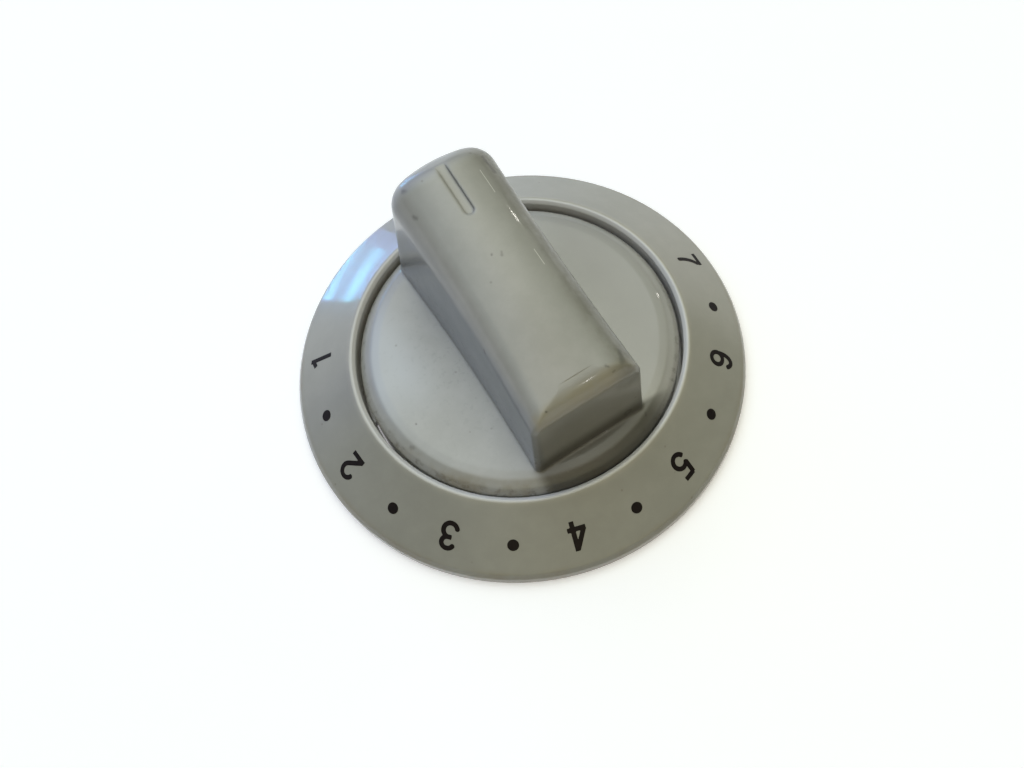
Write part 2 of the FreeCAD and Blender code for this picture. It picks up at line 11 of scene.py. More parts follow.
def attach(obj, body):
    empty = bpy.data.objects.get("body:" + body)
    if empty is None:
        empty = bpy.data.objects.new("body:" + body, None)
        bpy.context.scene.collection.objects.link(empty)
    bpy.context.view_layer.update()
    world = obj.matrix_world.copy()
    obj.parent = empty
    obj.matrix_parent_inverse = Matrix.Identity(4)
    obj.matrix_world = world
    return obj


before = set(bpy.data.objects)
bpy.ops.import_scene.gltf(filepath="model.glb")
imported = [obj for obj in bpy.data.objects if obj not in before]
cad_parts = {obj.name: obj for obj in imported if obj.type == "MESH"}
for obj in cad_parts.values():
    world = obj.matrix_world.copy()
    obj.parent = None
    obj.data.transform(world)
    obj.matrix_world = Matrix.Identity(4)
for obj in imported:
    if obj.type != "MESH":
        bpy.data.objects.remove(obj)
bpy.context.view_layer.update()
scene = bpy.context.scene
MM = 0.001

# Where the printed marks sit on the dial ring
MARK_RADIUS = 27.37 * MM
FIRST_MARK = math.radians(90 + 59.75)
MARK_STEP = math.radians(17.25)
DIGITS = "1234567"
DIGIT_HEIGHT = 3.9 * MM
PEN_WIDTH = 0.16
DOT_RADIUS = 0.75 * MM
INK_LIFT = 0.025 * MM
INK_DEPTH = 0.06 * MM
DOT_CORNERS = 40
ABOVE_RING = 20 * MM

# The photograph's viewing point
VIEW_AZIMUTH = math.radians(-32.19)
VIEW_ELEVATION = math.radians(61.83)
VIEW_ROLL = math.radians(-1.88)
VIEW_DISTANCE = 148.36 * MM
VIEW_SIDE = 10.37 * MM
VIEW_UP = 6.3 * MM
FOCAL_PIXELS = 1053.66
CENTRE_X = 595.66
CENTRE_Y = 315.41
IMAGE_WIDTH = 1024
IMAGE_HEIGHT = 768
SENSOR_WIDTH = 36.0


# Camera
def view_axes():
    sin_a = math.sin(VIEW_AZIMUTH)
    cos_a = math.cos(VIEW_AZIMUTH)
    back = Vector((
        sin_a * math.cos(VIEW_ELEVATION),
        -cos_a * math.cos(VIEW_ELEVATION),
        math.sin(VIEW_ELEVATION),
    ))
    right = Vector((cos_a, sin_a, 0))
    up = back.cross(right)
    return right, up, back


def make_camera():
    right, up, back = view_axes()
    place = back * VIEW_DISTANCE + right * VIEW_SIDE + up * VIEW_UP
    rolled_right = right * math.cos(VIEW_ROLL) + up * math.sin(VIEW_ROLL)
    rolled_up = up * math.cos(VIEW_ROLL) - right * math.sin(VIEW_ROLL)
    lens = bpy.data.cameras.new("photo_view")
    lens.sensor_width = SENSOR_WIDTH
    lens.lens = FOCAL_PIXELS * SENSOR_WIDTH / IMAGE_WIDTH
    lens.shift_x = (IMAGE_WIDTH / 2 - CENTRE_X) / IMAGE_WIDTH
    lens.shift_y = (CENTRE_Y - IMAGE_HEIGHT / 2) / IMAGE_WIDTH
    lens.clip_start = 5 * MM
    camera = bpy.data.objects.new("photo_view", lens)
    turn = Matrix((rolled_right, rolled_up, back)).transposed()
    camera.matrix_world = Matrix.Translation(place) @ turn.to_4x4()
    scene.collection.objects.link(camera)
    scene.camera = camera


make_camera()


# Material helpers
def colour(red, green, blue):
    # A screen colour, 0 to 255, as the linear colour that the shader takes
    parts = []
    for part in (red, green, blue):
        share = part / 255
        parts.append(share / 12.92 if share <= 0.04045 else ((share + 0.055) / 1.055) ** 2.4)
    return (*parts, 1.0)


class Finish:
    # One material's node tree, with short ways to add and join its nodes
    def __init__(self, name):
        self.material = bpy.data.materials.new(name)
        self.material.use_nodes = True
        self.tree = self.material.node_tree
        self.shader = self.tree.nodes["Principled BSDF"]
        self.place = self.node("ShaderNodeTexCoord").outputs["Object"]
        self.base = None

    def node(self, kind, **settings):
        made = self.tree.nodes.new(kind)
        for name, value in settings.items():
            setattr(made, name, value)
        return made

    def join(self, source, target):
        self.tree.links.new(source, target)

    def give(self, target, value):
        if isinstance(value, bpy.types.NodeSocket):
            self.join(value, target)
        else:
            target.default_value = value

    def shade(self, name, value):
        # Sets an input of the shader to a value, or joins it to a node
        self.give(self.shader.inputs[name], value)

    def stretched(self, scale):
        mapping = self.node("ShaderNodeMapping")
        self.join(self.place, mapping.inputs["Vector"])
        mapping.inputs["Scale"].default_value = scale
        return mapping.outputs["Vector"]

    def noise(self, scale, detail, roughness, vector=None):
        made = self.node("ShaderNodeTexNoise")
        self.join(vector or self.place, made.inputs["Vector"])
        made.inputs["Scale"].default_value = scale
        made.inputs["Detail"].default_value = detail
        made.inputs["Roughness"].default_value = roughness
        return made.outputs["Fac"]

    def maths(self, operation, first, second=0.0, clamp=False):
        made = self.node("ShaderNodeMath", operation=operation, use_clamp=clamp)
        self.give(made.inputs[0], first)
        self.give(made.inputs[1], second)
        return made.outputs[0]

    def vectors(self, operation, first, second=(0, 0, 0)):
        made = self.node("ShaderNodeVectorMath", operation=operation)
        self.give(made.inputs[0], first)
        self.give(made.inputs[3 if operation == "SCALE" else 1], second)
        return made.outputs["Value" if operation in ("LENGTH", "DOT_PRODUCT") else "Vector"]

    def ramp(self, value, low, high, start=0.0, end=1.0):
        made = self.node("ShaderNodeMapRange", interpolation_type="SMOOTHSTEP")
        self.give(made.inputs["Value"], value)
        made.inputs["From Min"].default_value = low
        made.inputs["From Max"].default_value = high
        made.inputs["To Min"].default_value = start
        made.inputs["To Max"].default_value = end
        return made.outputs["Result"]

    def uneven(self, amount, least, most):
        # An amount from 0 to 1, brought to lie between two shares
        return self.ramp(amount, 0.0, 1.0, least, most)

    def both(self, *amounts):
        result = amounts[0]
        for amount in amounts[1:]:
            result = self.maths("MULTIPLY", result, amount, clamp=True)
        return result

    def blend(self, amount, first, second):
        made = self.node("ShaderNodeMix", data_type="RGBA")
        self.give(made.inputs["Factor"], amount)
        self.give(made.inputs["A"], first)
        self.give(made.inputs["B"], second)
        return made.outputs["Result"]

    def paint(self, tint, *amounts):
        # Lays a screen colour over the base colour, by the product of the amounts
        self.base = self.blend(self.both(*amounts), self.base, colour(*tint))

    def from_axis(self):
        # Distance from the turning axis, in millimetres
        flat = self.vectors("MULTIPLY", self.place, (1, 1, 0))
        return self.maths("DIVIDE", self.vectors("LENGTH", flat), MM)

    def within(self, fades):
        # 1 inside one of the places listed below, 0 outside it, with soft edges
        axes = self.node("ShaderNodeSeparateXYZ")
        self.join(self.place, axes.inputs["Vector"])
        amounts = []
        for axis, start, full in fades:
            if axis == "radius":
                amounts.append(self.ramp(self.from_axis(), start, full))
            else:
                amounts.append(self.ramp(axes.outputs[axis], start * MM, full * MM))
        return self.both(*amounts)

    def gap_to(self, start, end=None):
        # Distance from the surface to a point, or to the straight line between two points, in millimetres
        first = Vector(start) * MM
        offset = self.vectors("SUBTRACT", self.place, first)
        if end is not None:
            run = Vector(end) * MM - first
            along = self.vectors("DOT_PRODUCT", offset, run / run.length_squared)
            share = self.maths("ADD", along, 0.0, clamp=True)
            offset = self.vectors("SUBTRACT", offset, self.vectors("SCALE", run, share))
        return self.maths("DIVIDE", self.vectors("LENGTH", offset), MM)

    def grime_and_shade(self, reach):
        # 1 in narrow corners, 0 on open surfaces, where grime and painted shade go
        made = self.node("ShaderNodeAmbientOcclusion", samples=SURFACE_SAMPLES)
        made.inputs["Distance"].default_value = reach
        return self.ramp(made.outputs["AO"], 0.35, 0.85, 1.0, 0.0)

    def bump(self, height, strength, distance, rounding=None, levelled=None):
        # Surface grain; with a rounding, moulded edges and root corners catch the light as small radii
        made = self.node("ShaderNodeBump")
        self.give(made.inputs["Height"], height)
        made.inputs["Strength"].default_value = strength
        made.inputs["Distance"].default_value = distance
        if rounding is not None:
            edges = self.node("ShaderNodeBevel", samples=SURFACE_SAMPLES)
            self.give(edges.inputs["Radius"], rounding)
            self.join(edges.outputs["Normal"], made.inputs["Normal"])
        normal = made.outputs["Normal"]
        if levelled is not None:
            # levelled is where the surface is shaded as if it faced one way, and that way;
            # of the mix node's sockets, inputs 4 and 5 and output 1 are the vectors
            share, way = levelled
            mixed = self.node("ShaderNodeMix", data_type="VECTOR")
            self.give(mixed.inputs["Factor"], share)
            self.give(mixed.inputs[4], normal)
            self.give(mixed.inputs[5], way)
            normal = mixed.outputs[1]
        self.shade("Normal", normal)
        self.shade("Coat Normal", normal)

    def finished(self):
        self.shade("Base Color", self.base)
        return self.material


# Samples of the nodes that look at the surface round a point
SURFACE_SAMPLES = 8

# Places on the knob body and the ring, in millimetres: an axis or the distance from the turning
# axis, where the place begins along it and where it is full
DISC_RIM = (("radius", 19.2, 21.4),)
DISC_EDGE = (("radius", 20.6, 21.3),)
DISC_LEFT = (("X", -10.0, -16.0), ("Y", -5.0, 5.0), ("radius", 20.5, 19.5))
DISC_RIGHT = (("X", 9.0, 15.0), ("radius", 20.5, 19.5))
ROLLED_END = (("Y", -15.1, -16.3), ("Z", 18.5, 19.5))
NEAR_FOOT = (("Y", -16.6, -17.4), ("Z", 12.0, 8.5), ("X", -9.2, -7.2), ("X", 14.0, 8.0))
LEFT_WALL = (("X", -6.6, -7.4), ("Z", 8.5, 10.5), ("Z", 24.5, 21.5))
LOW_LEFT_WALL = (("X", -7.0, -7.6), ("Z", 17.0, 11.0), ("Z", 7.5, 9.0))
RIGHT_SHOULDER = (("X", 3.0, 6.5), ("Z", 15.0, 18.0))
RING_LIP = (("radius", 23.6, 22.6),)
RING_INNER_WALL = (("radius", 22.9, 22.5),)
RING_RIM = (("radius", 29.9, 30.9),)

# The side of the disc's rim that gets painted shade: its direction, and how far out it begins and is full
SHADED_RIM_SIDE = (-0.62, -0.78, 0)
SHADED_RIM_FROM = 12 * MM
SHADED_RIM_FULL = 19 * MM

# The small step at the start of the rolled end: its line, how near counts as the step, in
# millimetres, and the way that the crown faces there
CROWN_STEP = ((-3.0, -14.6, 21.95), (3.0, -14.6, 21.95))
STEP_REACH = 0.15
CROWN_FACING = (0.0, -0.31, 0.95)

# Shine of the plastics
COAT_ROUGHNESS = 0.06
COAT_IOR = 1.5
GRAIN_DEPTH = 0.02 * MM
KNOB_EDGE_ROUND = 0.7 * MM
RING_EDGE_ROUND = 0.4 * MM

# Screen colours
KNOB_DULL = (164, 163, 157)
KNOB_PALE = (181, 180, 175)
RING_DULL = (157, 155, 145)
RING_PALE = (171, 169, 159)
RIM_PAINTED_SHADE = (148, 139, 118)
ROLLED_END_BEIGE = (168, 160, 138)
FOOT_SHADE = (80, 78, 70)
WALL_SHADE = (134, 138, 142)
SHOULDER_SHADE = (120, 118, 106)
KNOB_GRIME_AND_SHADE = (84, 78, 66)
DISC_PAINTED_LIGHT = (188, 191, 192)
DISC_PAINTED_SHADE = (157, 155, 149)
WALL_SPECKS = (76, 76, 74)
EDGE_DIRT = (92, 84, 68)
SMUDGE = (84, 82, 78)
DRIED_DROP = (70, 66, 60)
KNOB_DUST = (120, 116, 106)
PAINTED_HIGHLIGHT = (226, 226, 220)
LIP_PAINTED_LIGHT = (186, 181, 167)
LIT_WALL = (204, 203, 202)
RIM_STAIN = (150, 140, 118)
RING_GRIME_AND_SHADE = (70, 66, 60)
RING_DUST = (124, 116, 102)
INK_DARK = (14, 9, 8)
INK_WORN = (34, 26, 23)
STEEL_DARK = (150, 150, 152)
STEEL_PALE = (190, 190, 190)
TABLE_DULL = (240, 240, 240)
TABLE_PALE = (246, 246, 246)
TABLE_THROWN = (110, 110, 108)

# The table's own glow, where it is seen, and its shine
TABLE_GLOW = 0.31
TABLE_GLOW_TINT = (1.0, 0.98, 1.0, 1)
TABLE_COAT_ROUGHNESS = 0.015

# Dark marks of the knob body, in millimetres: start, end, half width, and strength
SMUDGES = (
    ((-0.74, 2.13, 26.8), (-0.7, 2.2, 26.8), 0.20, 0.55),
    ((0.30, 1.51, 26.67), (0.5, 1.9, 26.7), 0.22, 0.40),
    ((-5.84, 11.95, 27.07), (-5.6, 11.5, 27.1), 0.35, 0.45),
    ((-5.25, 15.30, 28.10), (-5.0, 15.0, 28.1), 0.40, 0.45),
    ((5.45, 14.30, 27.85), (5.70, 12.10, 27.25), 0.40, 0.60),
    ((-5.15, -16.28, 20.88), (-5.2, -16.2, 20.9), 0.20, 0.70),
    ((3.70, -15.51, 21.47), (3.9, -15.7, 21.4), 0.25, 0.50),
    ((4.12, -16.36, 20.80), (4.4, -16.3, 20.8), 0.20, 0.35),
    ((5.69, -15.95, 20.97), (6.3, -14.6, 21.0), 0.45, 0.40),
    ((0.30, -17.63, 8.10), (0.5, -17.6, 8.3), 0.35, 0.35),
    ((-4.99, -17.56, 9.07), (-4.6, -17.6, 9.3), 0.45, 0.35),
    # a dark streak down the root corner at the right foot of the near end
    ((8.15, -17.10, 8.60), (7.70, -18.70, 7.40), 0.22, 0.85),
    ((-7.59, -8.54, 14.69), (-7.63, -9.50, 14.39), 0.14, 0.75),
    ((-7.12, -5.60, 21.49), (-7.2, -5.9, 21.2), 0.18, 0.50),
    ((-7.41, -7.74, 19.45), (-7.4, -7.9, 19.3), 0.16, 0.45),
    ((-17.61, -3.13, 7.78), (-17.6, -3.2, 7.8), 0.16, 0.60),
    ((-19.66, -5.31, 7.26), (-19.4, -5.6, 7.3), 0.40, 0.35),
)
# A dried drop's faint ring on the near end: middle and radius
DROP_MIDDLE = (5.6, -17.56, 9.08)
DROP_RADIUS = 0.45
# Painted highlights, thin bright lines along the grip's right shoulder: start and end
PAINTED_HIGHLIGHT_LINES = (
    ((4.05, 12.51, 28.35), (4.07, 9.14, 27.62)),
    ((4.18, 0.63, 25.65), (4.25, -1.56, 25.10)),
)


def plastic(name, dull, pale):
    # Gentle mottling of the moulded plastic at two scales
    finish = Finish(name)
    broad = finish.ramp(finish.noise(45, 3, 0.55), 0.3, 0.7)
    fine = finish.ramp(finish.noise(420, 4, 0.65), 0.35, 0.75)
    broad_share = finish.maths("MULTIPLY", broad, 0.7)
    fine_share = finish.maths("MULTIPLY", fine, 0.3)
    mottled = finish.maths("ADD", broad_share, fine_share)
    finish.base = finish.blend(mottled, colour(*dull), colour(*pale))
    return finish


def dust(finish, scale):
    # Sparse tiny specks, in few of the cells of a scattered pattern
    cells = finish.node("ShaderNodeTexVoronoi")
    finish.join(finish.place, cells.inputs["Vector"])
    cells.inputs["Scale"].default_value = scale
    near = finish.ramp(cells.outputs["Distance"], 0.05, 0.09, 1.0, 0.0)
    tint = finish.node("ShaderNodeSeparateColor")
    finish.join(cells.outputs["Color"], tint.inputs["Color"])
    return finish.both(near, finish.ramp(tint.outputs["Red"], 0.72, 0.8))


def glossy(finish, rough_low, rough_high, coat):
    # Handled plastic: a soft gloss, uneven from rubbing, under a thin hard shine
    rubbed = finish.noise(150, 4, 0.6)
    finish.shade("Roughness", finish.ramp(rubbed, 0.3, 0.7, rough_low, rough_high))
    finish.shade("Coat Weight", coat)
    finish.shade("Coat Roughness", COAT_ROUGHNESS)
    finish.shade("Coat IOR", COAT_IOR)


def knob_plastic():
    finish = plastic("off_white_knob_plastic", KNOB_DULL, KNOB_PALE)
    patchy = finish.ramp(finish.noise(170, 4, 0.7), 0.35, 0.62)
    # painted beige shade, patchy, on the disc's rim at its lower left
    outwards = finish.vectors("DOT_PRODUCT", finish.place, SHADED_RIM_SIDE)
    shaded_rim_side = finish.ramp(outwards, SHADED_RIM_FROM, SHADED_RIM_FULL)
    finish.paint(RIM_PAINTED_SHADE, finish.within(DISC_RIM), shaded_rim_side, patchy, 0.75)
    # the rolled end is painted a patchy warm beige
    finish.paint(ROLLED_END_BEIGE, finish.within(ROLLED_END), finish.uneven(patchy, 0.45, 0.8))
    # painted shadow at the foot of the near end, down to the disc's edge
    finish.paint(FOOT_SHADE, finish.within(NEAR_FOOT), 0.85)
    # painted bluish shade on the left wall
    finish.paint(WALL_SHADE, finish.within(LEFT_WALL), 0.5)
    # painted olive shade on the right shoulder, patchy
    finish.paint(SHOULDER_SHADE, finish.within(RIGHT_SHOULDER), finish.uneven(patchy, 0.5, 0.8))
    # corners gather grime and painted shade, apart from the step in the crown
    step = finish.gap_to(*CROWN_STEP)
    off_step = finish.ramp(step, 0.4, 0.9)
    finish.paint(KNOB_GRIME_AND_SHADE, finish.grime_and_shade(0.6 * MM), off_step, 0.55)
    # painted light on the disc's left, pale and bluish, and painted shade on its right
    finish.paint(DISC_PAINTED_LIGHT, finish.within(DISC_LEFT), 0.9)
    finish.paint(DISC_PAINTED_SHADE, finish.within(DISC_RIGHT), 0.85)
    # dirt specks gather low on the left wall and along the disc's edge
    wall_specks = finish.ramp(finish.noise(1300, 3, 0.65), 0.56, 0.66)
    finish.paint(WALL_SPECKS, finish.within(LOW_LEFT_WALL), wall_specks, 0.4)
    edge_specks = finish.ramp(finish.noise(900, 3, 0.65), 0.5, 0.66)
    finish.paint(EDGE_DIRT, finish.within(DISC_EDGE), edge_specks, 0.45)
    wobble = finish.ramp(finish.noise(1500, 2, 0.6), 0.3, 0.7, 0.75, 1.25)
    for start, end, width, strength in SMUDGES:
        gap = finish.maths("MULTIPLY", finish.gap_to(start, end), wobble)
        finish.paint(SMUDGE, finish.ramp(gap, 0.0, width * 1.3, 1.0, 0.0), strength)
    off_circle = finish.maths("SUBTRACT", finish.gap_to(DROP_MIDDLE), DROP_RADIUS)
    circle = finish.ramp(finish.maths("ABSOLUTE", off_circle), 0.08, 0.24, 1.0, 0.0)
    finish.paint(DRIED_DROP, circle, 0.5)
    finish.paint(KNOB_DUST, dust(finish, 420), 0.35)
    # painted highlight lines along the right shoulder
    for start, end in PAINTED_HIGHLIGHT_LINES:
        near = finish.ramp(finish.gap_to(start, end), 0.02, 0.07, 1.0, 0.0)
        finish.paint(PAINTED_HIGHLIGHT, near, 0.85)
    glossy(finish, 0.3, 0.4, 0.4)
    # the crown runs on over the small step at the start of the rolled end
    faces = finish.node("ShaderNodeNewGeometry").outputs["True Normal"]
    upright = finish.ramp(finish.vectors("DOT_PRODUCT", faces, (0, -1, 0)), 0.8, 0.9)
    near_step = finish.ramp(step, STEP_REACH, STEP_REACH + 0.05, 1.0, 0.0)
    on_step = finish.both(near_step, upright)
    past_step = finish.maths("SUBTRACT", step, STEP_REACH, clamp=True)
    rounding = finish.maths("MULTIPLY", past_step, KNOB_EDGE_ROUND)
    grain = finish.noise(700, 3, 0.5)
    finish.bump(grain, 0.08, GRAIN_DEPTH, rounding, (on_step, CROWN_FACING))
    return finish.finished()


def ring_plastic():
    finish = plastic("off_white_ring_plastic", RING_DULL, RING_PALE)
    patchy = finish.ramp(finish.noise(150, 4, 0.7), 0.35, 0.65)
    # painted light on the ring's inner lip, patchy
    finish.paint(LIP_PAINTED_LIGHT, finish.within(RING_LIP), finish.uneven(patchy, 0.5, 0.9))
    finish.paint(RIM_STAIN, finish.within(RING_RIM), patchy, 0.6)
    # painted light on the inner wall, standing for the light of the disc beside it
    finish.paint(LIT_WALL, finish.within(RING_INNER_WALL), 0.85)
    # grime and painted shade in the ring's narrow corners
    finish.paint(RING_GRIME_AND_SHADE, finish.grime_and_shade(0.4 * MM), 0.3)
    finish.paint(RING_DUST, dust(finish, 400), 0.4)
    glossy(finish, 0.28, 0.38, 0.6)
    finish.bump(finish.noise(700, 3, 0.5), 0.08, GRAIN_DEPTH, RING_EDGE_ROUND)
    return finish.finished()


def printing_ink():
    finish = Finish("printing_ink")
    clouds = finish.noise(1500, 3, 0.6)
    finish.base = finish.blend(clouds, colour(*INK_DARK), colour(*INK_WORN))
    finish.shade("Roughness", 0.45)
    finish.shade("Specular IOR Level", 0.22)
    finish.bump(finish.noise(2500, 2, 0.5), 0.2, GRAIN_DEPTH / 2)
    return finish.finished()


def spring_steel():
    finish = Finish("spring_steel")
    grain = finish.noise(400, 4, 0.6, finish.stretched((8, 8, 0.4)))
    finish.base = finish.blend(grain, colour(*STEEL_DARK), colour(*STEEL_PALE))
    finish.shade("Metallic", 1.0)
    finish.shade("Roughness", finish.ramp(grain, 0.2, 0.8, 0.25, 0.42))
    finish.bump(grain, 0.15, GRAIN_DEPTH)
    return finish.finished()


def table_top():
    finish = Finish("pale_table_top")
    clouds = finish.noise(6, 3, 0.5)
    pale = finish.blend(clouds, colour(*TABLE_DULL), colour(*TABLE_PALE))
    # pale where it is seen, directly or in a reflection, and darker in the light that it throws back
    rays = finish.node("ShaderNodeLightPath").outputs
    seen = finish.maths("ADD", rays["Is Camera Ray"], rays["Is Glossy Ray"], clamp=True)
    seen = finish.maths("ADD", seen, rays["Is Transmission Ray"], clamp=True)
    finish.base = finish.blend(seen, colour(*TABLE_THROWN), pale)
    finish.shade("Emission Color", TABLE_GLOW_TINT)
    finish.shade("Emission Strength", finish.maths("MULTIPLY", seen, TABLE_GLOW))
    finish.shade("Roughness", 0.7)
    # its shine carries the window's light into the ring
    finish.shade("Coat Weight", rays["Is Glossy Ray"])
    finish.shade("Coat Roughness", TABLE_COAT_ROUGHNESS)
    return finish.finished()


INK = printing_ink()


def dress_node(name, material):
    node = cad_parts[name]
    node.data.materials.clear()
    node.data.materials.append(material)
    return node


dress_node("knob_body", knob_plastic())
ring = dress_node("dial_ring", ring_plastic())
dress_node("shaft_spring_clip", spring_steel())


# The printed surface of the dial ring
def surface_tree(item):
    corners = [vertex.co.copy() for vertex in item.data.vertices]
    faces = [list(face.vertices) for face in item.data.polygons]
    return BVHTree.FromPolygons(corners, faces)


ring_surface = surface_tree(ring)


def land_on_ring(x, y):
    # Height and normal of the ring's face above one point of its plane
    above = Vector((x, y, ABOVE_RING))
    place, normal, _, _ = ring_surface.ray_cast(above, Vector((0, 0, -1)))
    return place, normal


# Pen strokes of the digits, in shares of the digit's height
BOW_STEPS = 24
INK_CELL = 0.025
INK_COLUMNS = range(-5, 31)
INK_ROWS = range(-4, 45)
# How close the ink's edge may come to a corner of its cell, as a share of the cell
EDGE_MARGIN = 0.02
# The gap counted beyond a stroke's ends
FAR_FROM_PEN = 9.0


def bow(centre_x, centre_y, reach_x, reach_y, start, end):
    points = []
    for step in range(BOW_STEPS + 1):
        angle = math.radians(start + (end - start) * step / BOW_STEPS)
        points.append((centre_x + reach_x * math.cos(angle), centre_y + reach_y * math.sin(angle)))
    return points


STROKES = {
    "1": [[(0.36, 0.0), (0.36, 1.0)], [(0.40, 0.91), (0.10, 0.74)]],
    "2": [bow(0.31, 0.68, 0.235, 0.2475, 172, -38) + [(0.07, 0.10)], [(0.0, 0.0725), (0.58, 0.0725)]],
    "3": [
        bow(0.29, 0.735, 0.205, 0.1925, 165, -90) + [(0.20, 0.5425)],
        bow(0.28, 0.3125, 0.235, 0.24, 80, -168),
    ],
    "4": [[(0.42, 0.98), (0.05, 0.27)], [(0.0, 0.2725), (0.60, 0.2725)], [(0.42, 0.0), (0.42, 1.0)]],
    "5": [
        [(0.12, 0.9275), (0.54, 0.9275)],
        [(0.145, 0.96), (0.09, 0.49)],
        bow(0.285, 0.325, 0.235, 0.2525, 150, -165),
    ],
    "6": [bow(0.30, 0.3125, 0.225, 0.24, 0, 360), bow(0.32, 0.50, 0.245, 0.4275, 195, 38)],
    "7": [[(0.02, 0.9275), (0.58, 0.9275)], bow(0.76, 0.05, 0.55, 0.86, 118, 183)],
}


def pen_gap(point, stroke):
    # Distance from a point to a stroke's middle line, with square ends
    nearest = FAR_FROM_PEN
    last = len(stroke) - 2
    for index in range(last + 1):
        start = Vector(stroke[index])
        run = Vector(stroke[index + 1]) - start
        share = (point - start).dot(run) / run.length_squared
        if (share < 0 and index == 0) or (share > 1 and index == last):
            continue
        share = min(max(share, 0), 1)
        nearest = min(nearest, (point - start - run * share).length)
    return nearest


def digit_shape(strokes):
    # The inked area as a fine flat mesh: cells of a grid, clipped where the ink ends
    ink = {}
    for column in INK_COLUMNS:
        for row in INK_ROWS:
            point = Vector((column * INK_CELL, row * INK_CELL))
            ink[column, row] = PEN_WIDTH / 2 - min(pen_gap(point, stroke) for stroke in strokes)
    mesh = bmesh.new()
    corners = {}

    def corner(key, x, y):
        if key not in corners:
            corners[key] = mesh.verts.new((x * INK_CELL, y * INK_CELL, 0))
        return corners[key]

    for column in INK_COLUMNS[:-1]:
        for row in INK_ROWS[:-1]:
            around = [(column, row), (column + 1, row), (column + 1, row + 1), (column, row + 1)]
            loop = []
            for index in range(4):
                here = around[index]
                there = around[(index + 1) % 4]
                if ink[here] > 0:
                    loop.append(corner(here, *here))
                if (ink[here] > 0) != (ink[there] > 0):
                    share = ink[here] / (ink[here] - ink[there])
                    share = min(max(share, EDGE_MARGIN), 1 - EDGE_MARGIN)
                    x = here[0] + (there[0] - here[0]) * share
                    y = here[1] + (there[1] - here[1]) * share
                    loop.append(corner(frozenset((here, there)), x, y))
            if len(loop) >= 3 and len(set(loop)) == len(loop):
                mesh.faces.new(loop)
    return mesh


def thicken(mesh, depth):
    # Closes a sheet downwards into a thin solid, its faces in the same order each run
    drop = Vector((0, 0, depth))
    sheet = mesh.faces[:]
    outline = [edge for edge in mesh.edges if edge.is_boundary]
    lower = {vertex: mesh.verts.new(vertex.co - drop) for vertex in mesh.verts[:]}
    for face in sheet:
        mesh.faces.new([lower[vertex] for vertex in reversed(face.verts)])
    for edge in outline:
        first, second = edge.verts
        mesh.faces.new((first, second, lower[second], lower[first]))
    bmesh.ops.recalc_face_normals(mesh, faces=mesh.faces[:])


def print_digit(digit, angle):
    mesh = digit_shape(STROKES[digit])
    low = min(vertex.co.x for vertex in mesh.verts)
    high = max(vertex.co.x for vertex in mesh.verts)
    outward = Vector((math.cos(angle), math.sin(angle), 0))
    across = Vector((math.sin(angle), -math.cos(angle), 0))
    _, normal = land_on_ring(outward.x * MARK_RADIUS, outward.y * MARK_RADIUS)
    for vertex in mesh.verts:
        side = (vertex.co.x - (low + high) / 2) * DIGIT_HEIGHT
        rise = (vertex.co.y - 0.5) * DIGIT_HEIGHT * normal.z
        spot = outward * (MARK_RADIUS + rise) + across * side
        place, _ = land_on_ring(spot.x, spot.y)
        vertex.co = place + Vector((0, 0, INK_LIFT))
    thicken(mesh, INK_DEPTH)
    shape = bpy.data.meshes.new("digit_" + digit)
    mesh.to_mesh(shape)
    mesh.free()
    piece = bpy.data.objects.new("digit_" + digit, shape)
    shape.materials.append(INK)
    scene.collection.objects.link(piece)
    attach(piece, "root")


for index, digit in enumerate(DIGITS):
    print_digit(digit, FIRST_MARK + MARK_STEP * 2 * index)


